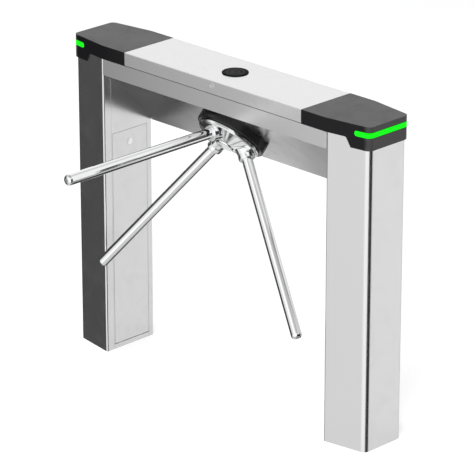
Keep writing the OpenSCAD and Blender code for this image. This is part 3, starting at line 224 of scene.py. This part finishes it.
def skin_group():
    """The fine grained skin of a moulded cover."""
    tree, given, made = new_group(
        "moulded skin",
        [("Vector", "Vector", None), ("Colour", "Color", (0.05, 0.05, 0.05, 1)), ("Roughness", "Float", 0.4),
         ("Scale", "Float", 1500.0), ("Mottle", "Float", 0.1)],
        [("Colour", "Color"), ("Roughness", "Float"), ("Height", "Float")],
    )
    cells = new_node(tree, "ShaderNodeTexVoronoi", {"Vector": given["Vector"], "Scale": given["Scale"]})
    cloud = noise(tree, given["Vector"], MOTTLE_SCALE, detail=4.0)
    slow = maths(tree, "MULTIPLY", maths(tree, "SUBTRACT", cloud, 0.5), given["Mottle"])
    tinted = scaled(tree, given["Colour"], maths(tree, "ADD", slow, 1.0))
    rough = maths(tree, "ADD", given["Roughness"], maths(tree, "MULTIPLY", slow, MOTTLE_ROUGHENS))
    tree.links.new(tinted, made["Colour"])
    tree.links.new(rough, made["Roughness"])
    tree.links.new(cells.outputs["Distance"], made["Height"])
    return tree


BELT_GRAIN = grain_group()
HANDLING = handling_group()
MOULDED_SKIN = skin_group()

# How the belt grain is stretched along X, Y and Z: a low value draws it out into lines
EVEN = (1.0, 1.0, 1.0)
ALONG_BEAM = (0.012, 1.0, 1.0)
UPRIGHT = (1.0, 1.0, 0.012)
FLAT_PLATE = (1.0, 0.05, 0.05)
WOUND = (0.05, 0.05, 1.0)


# Makers of materials
def start_material(name):
    """A new material: its tree, its shader, and the object coordinates."""
    made = bpy.data.materials.new(name)
    made.use_nodes = True
    tree = made.node_tree
    place = new_node(tree, "ShaderNodeTexCoord").outputs["Object"]
    return made, tree, tree.nodes["Principled BSDF"], place


def finish_surface(tree, shader, surface, height=None, depth=0.0):
    """Link a surface's colour and roughness, and its height as a bump of this depth."""
    tree.links.new(surface["Colour"], shader.inputs["Base Color"])
    tree.links.new(surface["Roughness"], shader.inputs["Roughness"])
    if depth:
        bump = new_node(tree, "ShaderNodeBump", {"Height": height, "Distance": depth, "Strength": 1.0})
        tree.links.new(bump.outputs["Normal"], shader.inputs["Normal"])


def metal(name, colour, roughness, stretch=EVEN, contrast=0.1, patches=0.08, smears=0.06, dust=0.0,
          depth=0.00001, across="", spread=0.0):
    """Sheet, plate or machined metal with grain, smears and dust. Belt grain spreads gloss across itself."""
    made, tree, shader, place = start_material(name)
    grain = use_group(tree, BELT_GRAIN, {"Vector": place, "Colour": (*colour, 1), "Roughness": roughness,
                                         "Stretch": stretch, "Contrast": contrast, "Patches": patches})
    worn = use_group(tree, HANDLING, {"Vector": place, "Colour": grain["Colour"],
                                      "Roughness": grain["Roughness"], "Smears": smears, "Dust": dust})
    finish_surface(tree, shader, worn, grain["Height"], depth)
    shader.inputs["Metallic"].default_value = 1.0
    if across:
        shader.inputs["Anisotropic"].default_value = spread
        round_axis = new_node(tree, "ShaderNodeTangent", direction_type="RADIAL", axis=across)
        tree.links.new(round_axis.outputs[0], shader.inputs["Tangent"])
    return made


# The scale of the wandering edge of the painted light on a cover's ends, and how far it wanders in metres
LIT_EDGE_SCALE = 35.0
LIT_EDGE_REACH = 0.02


def moulded(name, colour, roughness, scale=1500.0, mottle=0.1, depth=0.00002, smears=0.05, specular=0.5,
            lit_ends=None):
    """Moulded plastic or rubber with a fine skin. Lit ends gives the painted lighter colour of its ends,
    where light falls on them, and says from where.
    """
    made, tree, shader, place = start_material(name)
    base = (*colour, 1)
    # Painted light: the ends turn a lighter colour, which stands in for the light falling on them.
    if lit_ends:
        lit_colour, start, full = lit_ends
        outwards = maths(tree, "ABSOLUTE", axes(tree, place)["X"])
        edge_wander = noise(tree, place, LIT_EDGE_SCALE, detail=4.0)
        reach = maths(tree, "MULTIPLY_ADD", edge_wander, LIT_EDGE_REACH, outwards)
        base = blend_colours(tree, share_of_way(tree, reach, start, full), base, (*lit_colour, 1))
    skin = use_group(tree, MOULDED_SKIN, {"Vector": place, "Colour": base, "Roughness": roughness,
                                          "Scale": scale, "Mottle": mottle})
    worn = use_group(tree, HANDLING, {"Vector": place, "Colour": skin["Colour"],
                                      "Roughness": skin["Roughness"], "Smears": smears, "Dust": 0.0})
    finish_surface(tree, shader, worn, skin["Height"], depth)
    shader.inputs["Specular IOR Level"].default_value = specular
    return made


# The bars' light: half its bright height, the level at its rim, and how lamps and clouds change it
LIT_HALF = 0.0062
LIT_RIM = 0.06
LAMPS_SCALE = 520.0
LAMPS_SWING = 0.05
CLOUDS_SCALE = 90.0
CLOUDS_SWING = 0.1


def glowing(name, colour, strength):
    """A lit diffuser: brighter over each lamp behind it, and dim along its rim."""
    made, tree, shader, place = start_material(name)
    where = axes(tree, place)
    along = maths(tree, "ADD", where["X"], where["Y"])
    pulse = maths(tree, "SINE", maths(tree, "MULTIPLY", along, LAMPS_SCALE))
    level = maths(tree, "MULTIPLY_ADD", pulse, LAMPS_SWING, 1 - LAMPS_SWING)
    cloud = maths(tree, "MULTIPLY_ADD", noise(tree, place, CLOUDS_SCALE), CLOUDS_SWING, 1 - CLOUDS_SWING / 2)
    low, high = (corner[2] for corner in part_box("light_bar_right"))
    off_middle = maths(tree, "ABSOLUTE", maths(tree, "SUBTRACT", where["Z"], (low + high) / 2))
    edge = share_of_way(tree, off_middle, LIT_HALF, (high - low) / 2, levels=(1.0, LIT_RIM))
    lit = scaled(tree, colour, maths(tree, "MULTIPLY", maths(tree, "MULTIPLY", level, cloud), edge))
    tree.links.new(lit, shader.inputs["Emission Color"])
    tree.links.new(lit, shader.inputs["Base Color"])
    shader.inputs["Emission Strength"].default_value = strength
    shader.inputs["Roughness"].default_value = 0.5
    shader.inputs["Specular IOR Level"].default_value = 0.05
    return made


# Painted highlights in the lid's window: rings as (radius, half width) shares of its reach, the bright
# share of a ring's width, where the black rim begins, and a faint lighter haze
WINDOW_HIGHLIGHT_RINGS = [(0.34, 0.10), (0.74, 0.07)]
HIGHLIGHT_CORE = 0.3
RIM_START = 0.85
HAZE_SCALE = 40.0
HAZE_STOPS = [(0.30, 0.0), (0.75, 1.0)]
HAZE_LEVEL = 0.55


def window_glass(name, colour, highlight_colour, reach):
    """Dark glass with a black rim. Two painted highlight rings and a faint lighter haze are painted in its
    colour, as far out as reach.
    """
    made, tree, shader, place = start_material(name)
    low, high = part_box("top_lens")
    middle = (Vector(low) + Vector(high)) / 2
    away = new_node(tree, "ShaderNodeVectorMath", {0: place, 1: middle},
                    operation="DISTANCE").outputs["Value"]
    inside = share_of_way(tree, away, reach, reach * RIM_START)
    haze = ramp(tree, noise(tree, place, HAZE_SCALE, detail=3.0), HAZE_STOPS)
    lighter_marks = maths(tree, "MULTIPLY", haze, HAZE_LEVEL)
    # Painted highlight: each ring is a lighter colour in the glass.
    for radius, width in WINDOW_HIGHLIGHT_RINGS:
        off = maths(tree, "ABSOLUTE", maths(tree, "SUBTRACT", away, reach * radius))
        highlight_ring = share_of_way(tree, off, reach * width, reach * width * HIGHLIGHT_CORE, smooth=False)
        lighter_marks = maths(tree, "MAXIMUM", lighter_marks, highlight_ring)
    shade = blend_colours(tree, maths(tree, "MULTIPLY", inside, lighter_marks), (*colour, 1), (*highlight_colour, 1))
    skin = use_group(tree, MOULDED_SKIN, {"Vector": place, "Colour": shade, "Roughness": 0.08,
                                          "Scale": 900.0, "Mottle": 0.05})
    finish_surface(tree, shader, skin)
    shader.inputs["Specular IOR Level"].default_value = 0.008
    return made


# A board's tracks: how dark and light they are against the board, and their scale, width and height
TRACK_DARK = 0.8
TRACK_LIGHT = 1.9
TRACK_SCALE = 60.0
TRACK_WIDTH = 0.03
TRACK_HEIGHT = 0.00003


def circuit(name, colour):
    """A lacquered board with its copper tracks showing through."""
    made, tree, shader, place = start_material(name)
    tracks = new_node(tree, "ShaderNodeTexBrick",
                      {"Vector": place, "Color1": (*colour, 1),
                       "Color2": [level * TRACK_DARK for level in colour] + [1],
                       "Mortar": [min(level * TRACK_LIGHT, 1) for level in colour] + [1],
                       "Scale": TRACK_SCALE, "Mortar Size": TRACK_WIDTH})
    skin = use_group(tree, MOULDED_SKIN, {"Vector": place, "Colour": tracks.outputs["Color"],
                                          "Roughness": 0.32, "Scale": 700.0, "Mottle": 0.2})
    finish_surface(tree, shader, skin, tracks.outputs["Fac"], TRACK_HEIGHT)
    shader.inputs["Coat Weight"].default_value = 0.4
    shader.inputs["Coat Roughness"].default_value = 0.15
    return made


BRUSHED = (0.77, 0.765, 0.77)

# Every finish: its maker, its settings, and the nodes that it covers
FINISHES = {
    "upright_steel": (metal, dict(colour=BRUSHED, roughness=0.22, stretch=UPRIGHT, contrast=0.04,
                                  patches=0.03, smears=0.03, dust=0.06, depth=0.000003, across="Z",
                                  spread=0.4),
                      ("leg_left", "leg_right", "door_left", "door_right")),
    "lengthwise_steel": (metal, dict(colour=BRUSHED, roughness=0.18, stretch=ALONG_BEAM, contrast=0.04,
                                     patches=0.03, smears=0.03, depth=0.000003, across="X", spread=0.97),
                         ("beam_shell",)),
    "lid_steel": (metal, dict(colour=(0.84, 0.835, 0.84), roughness=0.26, stretch=ALONG_BEAM, contrast=0.03,
                              patches=0.03, smears=0.02, depth=0.000002, across="X", spread=0.7),
                  ("lid", "lid_lock")),
    "chrome": (metal, dict(colour=(0.88, 0.885, 0.89), roughness=0.06, contrast=0.02, patches=0.01,
                           smears=0.05, depth=0.0),
               ("hub_body", "hub_cap", "arm_barrier", "arm_left", "arm_right", "arm_end_caps",
                "arm_set_screws", "lid_cam", "door_lock_left", "door_lock_right", "door_cam_left",
                "door_cam_right")),
    # The covers' ends are painted lighter. This is painted light where light falls on them.
    "cover": (moulded, dict(colour=(0.007, 0.007, 0.008), roughness=0.30, specular=0.14,
                            lit_ends=((0.055, 0.054, 0.055), 0.586, 0.602)),
              ("cap_left", "cap_right")),
    "cover_top": (moulded, dict(colour=(0.012, 0.012, 0.013), roughness=0.34), ()),
    "gloss_black": (moulded, dict(colour=(0.010, 0.010, 0.011), roughness=0.24, scale=900.0,
                                  depth=0.000004, specular=0.3),
                    ("hub_flange", "encoder_sensor", "encoder_disc")),
    # The window's lighter rings are painted highlights.
    "dark_glass": (window_glass, dict(colour=(0.0008, 0.0008, 0.001), highlight_colour=(0.034, 0.038, 0.036),
                                      reach=0.035),
                   ("top_lens",)),
    "rubber": (moulded, dict(colour=(0.03, 0.03, 0.03), roughness=0.62, scale=1100.0),
               ("lid_gasket", "cable_grommets")),
    "green_light": (glowing, dict(colour=(0.004, 0.55, 0.006), strength=1.25),
                    ("light_bar_left", "light_bar_right")),
    "zinc": (metal, dict(colour=(0.62, 0.63, 0.64), roughness=0.36, contrast=0.16, patches=0.18, smears=0.08),
             ("beam_bolts", "mech_bolts", "standoffs", "hinge_pins", "hub_bolt", "lid_keeper",
              "hinge_frame_leaves", "hinge_lid_leaves")),
    "plate_steel": (metal, dict(colour=(0.56, 0.56, 0.57), roughness=0.38, stretch=FLAT_PLATE, contrast=0.16,
                                patches=0.12, smears=0.10, dust=0.3),
                    ("base_plates", "mech_plate", "lock_plate")),
    "cast_alloy": (metal, dict(colour=(0.62, 0.62, 0.63), roughness=0.46, contrast=0.22, patches=0.20,
                               smears=0.05, depth=0.00004),
                   ("bearing_housing", "power_supply")),
    "ground_steel": (metal, dict(colour=(0.70, 0.70, 0.71), roughness=0.20, contrast=0.08, patches=0.06),
                     ("main_shaft", "shaft_keys", "shaft_bearings", "main_gear", "motor_pinion", "lock_disc",
                      "pawl_a", "pawl_b", "plunger_a", "plunger_b")),
    "motor_paint": (moulded, dict(colour=(0.03, 0.03, 0.033), roughness=0.34, scale=600.0, mottle=0.15),
                    ("motor",)),
    "copper": (metal, dict(colour=(0.72, 0.33, 0.14), roughness=0.30, stretch=WOUND, contrast=0.45,
                           patches=0.12, smears=0.04, depth=0.0001),
               ("solenoids",)),
    "green_board": (circuit, dict(colour=(0.02, 0.16, 0.06)),
                    ("led_boards", "reader_boards", "lens_board", "control_board")),
    "spring_wire": (metal, dict(colour=(0.34, 0.34, 0.36), roughness=0.30, contrast=0.12, patches=0.06,
                                smears=0.04),
                    ("pawl_springs",)),
}
MATERIALS = {name: maker(name, **settings) for name, (maker, settings, _) in FINISHES.items()}
FINISH_OF = {node: name for name, (_, _, nodes) in FINISHES.items() for node in nodes}

for node_name, node_object in frame["nodes"].items():
    if not node_object.material_slots:
        node_object.data.materials.append(None)
    for material_slot in node_object.material_slots:
        material_slot.link = "OBJECT"
        material_slot.material = MATERIALS[FINISH_OF[node_name]]

# Finer forms of CAD nodes: the same shape, with its folded, cast and moulded edges rounded. The
# slots are the record's, and the limits say what is merged, flattened, rounded and shaded smooth.
BODY_OF = {node: body for body, nodes in frame["record"]["behaviour"]["bodies"].items() for node in nodes}
SAME_POINT = 0.000002
SAME_FLAT = math.radians(0.2)
SHARP_EDGE = math.radians(35.0)
SMOOTH_EDGE = math.radians(30.0)
FACING_UP = 0.9


def rounded_form(node, piece_name, edge, steps=2, top=""):
    """A copy of a CAD node's shape whose sharp edges are rounded to a radius. It stands for the node."""
    bpy.ops.object.select_all(action="DESELECT")
    piece = bpy.data.objects.new(piece_name, frame["nodes"][node].data.copy())
    scene.collection.objects.link(piece)
    bpy.context.view_layer.objects.active = piece
    piece.select_set(True)
    bpy.ops.object.mode_set(mode="EDIT")
    bpy.ops.mesh.select_all(action="SELECT")
    bpy.ops.mesh.remove_doubles(threshold=SAME_POINT)
    bpy.ops.mesh.dissolve_limited(angle_limit=SAME_FLAT)
    bpy.ops.mesh.normals_make_consistent(inside=False)
    bpy.ops.object.mode_set(mode="OBJECT")
    rounding = piece.modifiers.new("rounding", "BEVEL")
    rounding.width = edge
    rounding.segments = steps
    rounding.limit_method = "ANGLE"
    rounding.angle_limit = SHARP_EDGE
    rounding.use_clamp_overlap = True
    bpy.ops.object.modifier_apply(modifier="rounding")
    bpy.ops.object.shade_smooth_by_angle(angle=SMOOTH_EDGE)
    flatness = piece.modifiers.new("flatness", "WEIGHTED_NORMAL")
    flatness.keep_sharp = True
    flatness.weight = 100
    bpy.ops.object.modifier_apply(modifier="flatness")
    piece.data.materials.clear()
    piece.data.materials.append(MATERIALS[FINISH_OF[node]])
    if top:
        piece.data.materials.append(MATERIALS[top])
        for face in piece.data.polygons:
            face.material_index = int(face.normal.z > FACING_UP)
    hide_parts(node)
    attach(piece, BODY_OF[node])


rounded_form("cap_left", "left_end_cover", edge=0.0016, top="cover_top")
rounded_form("cap_right", "right_end_cover", edge=0.0016, top="cover_top")
rounded_form("light_bar_left", "left_diffuser", edge=0.0015)
rounded_form("light_bar_right", "right_diffuser", edge=0.0015)
rounded_form("lid", "folded_lid", edge=0.0006)
rounded_form("beam_shell", "folded_beam", edge=0.0008)
rounded_form("hub_flange", "hub_ring", edge=0.0010)
rounded_form("hub_body", "hub_casting", edge=0.0010)
rounded_form("hub_cap", "hub_cover", edge=0.0010)
rounded_form("top_lens", "lid_window", edge=0.0004)
rounded_form("lid_lock", "lid_lock_body", edge=0.0014, steps=4)
rounded_form("door_lock_left", "left_door_lock_body", edge=0.0012, steps=4)
rounded_form("door_lock_right", "right_door_lock_body", edge=0.0012, steps=4)

# Floor
FLOOR_HALF = 9.0
FLOOR_TONES = [(0.0, 0.91), (1.0, 0.93)]
FLOOR_CLOUDS = 0.6
FLOOR_LIFT = 0.30


def floor_material():
    """Plain pale floor. The camera sees it almost white, and it keeps the shadow."""
    made, tree, shader, place = start_material("floor")
    tree.nodes.remove(shader)
    tone = ramp(tree, noise(tree, place, FLOOR_CLOUDS, detail=1.0), FLOOR_TONES)
    matt = new_node(tree, "ShaderNodeBsdfDiffuse", {"Color": tone})
    glow = new_node(tree, "ShaderNodeEmission", {"Color": (1, 1, 1, 1), "Strength": FLOOR_LIFT})
    ray = new_node(tree, "ShaderNodeLightPath")
    lift = new_node(tree, "ShaderNodeMixShader", {0: ray.outputs["Is Camera Ray"], 2: glow.outputs[0]})
    both = new_node(tree, "ShaderNodeAddShader", {0: matt.outputs[0], 1: lift.outputs[0]})
    tree.links.new(both.outputs[0], tree.nodes["Material Output"].inputs["Surface"])
    return made


bpy.ops.object.select_all(action="DESELECT")
bpy.ops.mesh.primitive_plane_add(size=2 * FLOOR_HALF, location=(0, 0, 0))
floor = bpy.context.object
floor.name = "floor"
floor.data.materials.append(floor_material())
floor.visible_glossy = False

# A level card behind the beam that shows only in reflections. It is what the sloped face and the
# hub mirror of the floor, darker towards the left leg. Its stops are (share of its length, level).
CARD_X = (-2.0, -0.30)
CARD_Y = (0.30, 1.9)
CARD_HEIGHT = 0.002
CARD_LEVELS = [(0.0, 0.10), (0.49, 0.10), (0.54, 0.34), (0.60, 0.55), (0.75, 0.84), (0.84, 0.78),
               (0.93, 0.55), (1.0, 0.45)]


def card_material():
    """A plain glow whose level follows the card's length."""
    made, tree, shader, place = start_material("bounce")
    tree.nodes.remove(shader)
    share = share_of_way(tree, axes(tree, place)["X"], *CARD_X, smooth=False)
    shine = new_node(tree, "ShaderNodeEmission", {"Color": ramp(tree, share, CARD_LEVELS)})
    tree.links.new(shine.outputs[0], tree.nodes["Material Output"].inputs["Surface"])
    return made


bpy.ops.object.select_all(action="DESELECT")
bpy.ops.mesh.primitive_plane_add(size=1.0, location=(sum(CARD_X) / 2, sum(CARD_Y) / 2, CARD_HEIGHT))
card = bpy.context.object
card.name = "bounce_card"
card.scale = (CARD_X[1] - CARD_X[0], CARD_Y[1] - CARD_Y[0], 1.0)
bpy.ops.object.transform_apply(location=True, rotation=True, scale=True)
card.data.materials.append(card_material())
card.visible_camera = False
card.visible_diffuse = False
card.visible_shadow = False
card.visible_transmission = False

# Light and background. Screens stand round the studio and show only in reflections. Their stops are
# (share of a turn from -X round by -Y, level), and heights are the Z of a mirrored ray.
SKY_LIGHT = 0.62
SCREENS = [(0.0, 0.06), (0.103, 0.06), (0.140, 0.88), (0.185, 0.86), (0.23, 1.18), (0.400, 1.18),
           (0.420, 0.03), (0.58, 0.03), (0.608, 1.0), (0.66, 1.0), (0.71, 0.78), (0.825, 0.78),
           (0.860, 1.03), (0.900, 1.0), (0.918, 0.20), (0.95, 0.08), (1.0, 0.06)]
OPEN_ABOVE = (0.25, 0.7)
FLOOR_BELOW = (-0.74, -0.80)
FLOOR_PATCHES = [(0.38, 0.22), (0.56, 2.0)]
PATCH_SCALE = 16.0
LOW_SCREEN = [(0.62, 0.0), (0.66, 1.0), (0.79, 1.0), (0.85, 0.0)]
LOW_SCREEN_HEIGHTS = (-0.50, -0.72)
LOW_SCREEN_DARKENS = 0.92
LEVELS_BY_HEIGHT = [(0.0, 0.40), (0.14, 0.52), (0.27, 0.95), (0.34, 1.0), (0.84, 1.0), (0.92, 0.50),
                    (1.0, 0.40)]


def studio_world():
    """White all round to the camera. Reflections see the screens."""
    world = bpy.data.worlds.new("studio")
    world.use_nodes = True
    tree = world.node_tree
    away = new_node(tree, "ShaderNodeTexCoord").outputs["Generated"]
    where = axes(tree, away)
    turn = maths(tree, "MULTIPLY_ADD", maths(tree, "ARCTAN2", where["Y"], where["X"]), 0.5 / math.pi, 0.5)
    screens = ramp(tree, turn, SCREENS)
    screens = maths(tree, "MAXIMUM", screens, share_of_way(tree, where["Z"], *OPEN_ABOVE))
    patches = ramp(tree, noise(tree, away, PATCH_SCALE, detail=3.0, distortion=1.8), FLOOR_PATCHES)
    below = share_of_way(tree, where["Z"], *FLOOR_BELOW)
    screens = maths(tree, "MAXIMUM", screens, maths(tree, "MULTIPLY", below, patches))
    low = share_of_way(tree, where["Z"], *LOW_SCREEN_HEIGHTS)
    table = maths(tree, "MULTIPLY", maths(tree, "MULTIPLY", low, ramp(tree, turn, LOW_SCREEN)),
                  LOW_SCREEN_DARKENS)
    screens = maths(tree, "MULTIPLY", screens, maths(tree, "SUBTRACT", 1.0, table))
    height = maths(tree, "MULTIPLY_ADD", where["Z"], 0.5, 0.5)
    screens = maths(tree, "MULTIPLY", screens, ramp(tree, height, LEVELS_BY_HEIGHT))
    ray = new_node(tree, "ShaderNodeLightPath").outputs
    seen = maths(tree, "MAXIMUM", ray["Is Camera Ray"], ray["Is Transmission Ray"])
    mirrored = maths(tree, "MULTIPLY", ray["Is Glossy Ray"], screens)
    lighting = maths(tree, "SUBTRACT", 1.0, maths(tree, "MAXIMUM", seen, ray["Is Glossy Ray"]))
    strength = maths(tree, "ADD", maths(tree, "ADD", seen, mirrored),
                     maths(tree, "MULTIPLY", lighting, SKY_LIGHT))
    sky = tree.nodes["Background"]
    tree.links.new(strength, sky.inputs["Strength"])
    sky.inputs["Color"].default_value = (1, 1, 1, 1)
    scene.world = world


studio_world()


def softbox(name, place, aim, size, power):
    """A soft lamp that lights the object and isn't seen in its gloss."""
    lamp = bpy.data.lights.new(name, "AREA")
    lamp.shape = "RECTANGLE"
    lamp.size, lamp.size_y = size
    lamp.energy = power
    made = bpy.data.objects.new(name, lamp)
    made.location = place
    made.rotation_euler = (Vector(aim) - Vector(place)).to_track_quat("-Z", "Y").to_euler()
    made.visible_glossy = False
    scene.collection.objects.link(made)


softbox("key", place=(2.6, -3.4, 4.2), aim=(0, 0, 0.6), size=(3.0, 2.4), power=170)
softbox("fill", place=(-3.6, -2.2, 3.0), aim=(0, 0, 0.5), size=(2.4, 2.4), power=50)
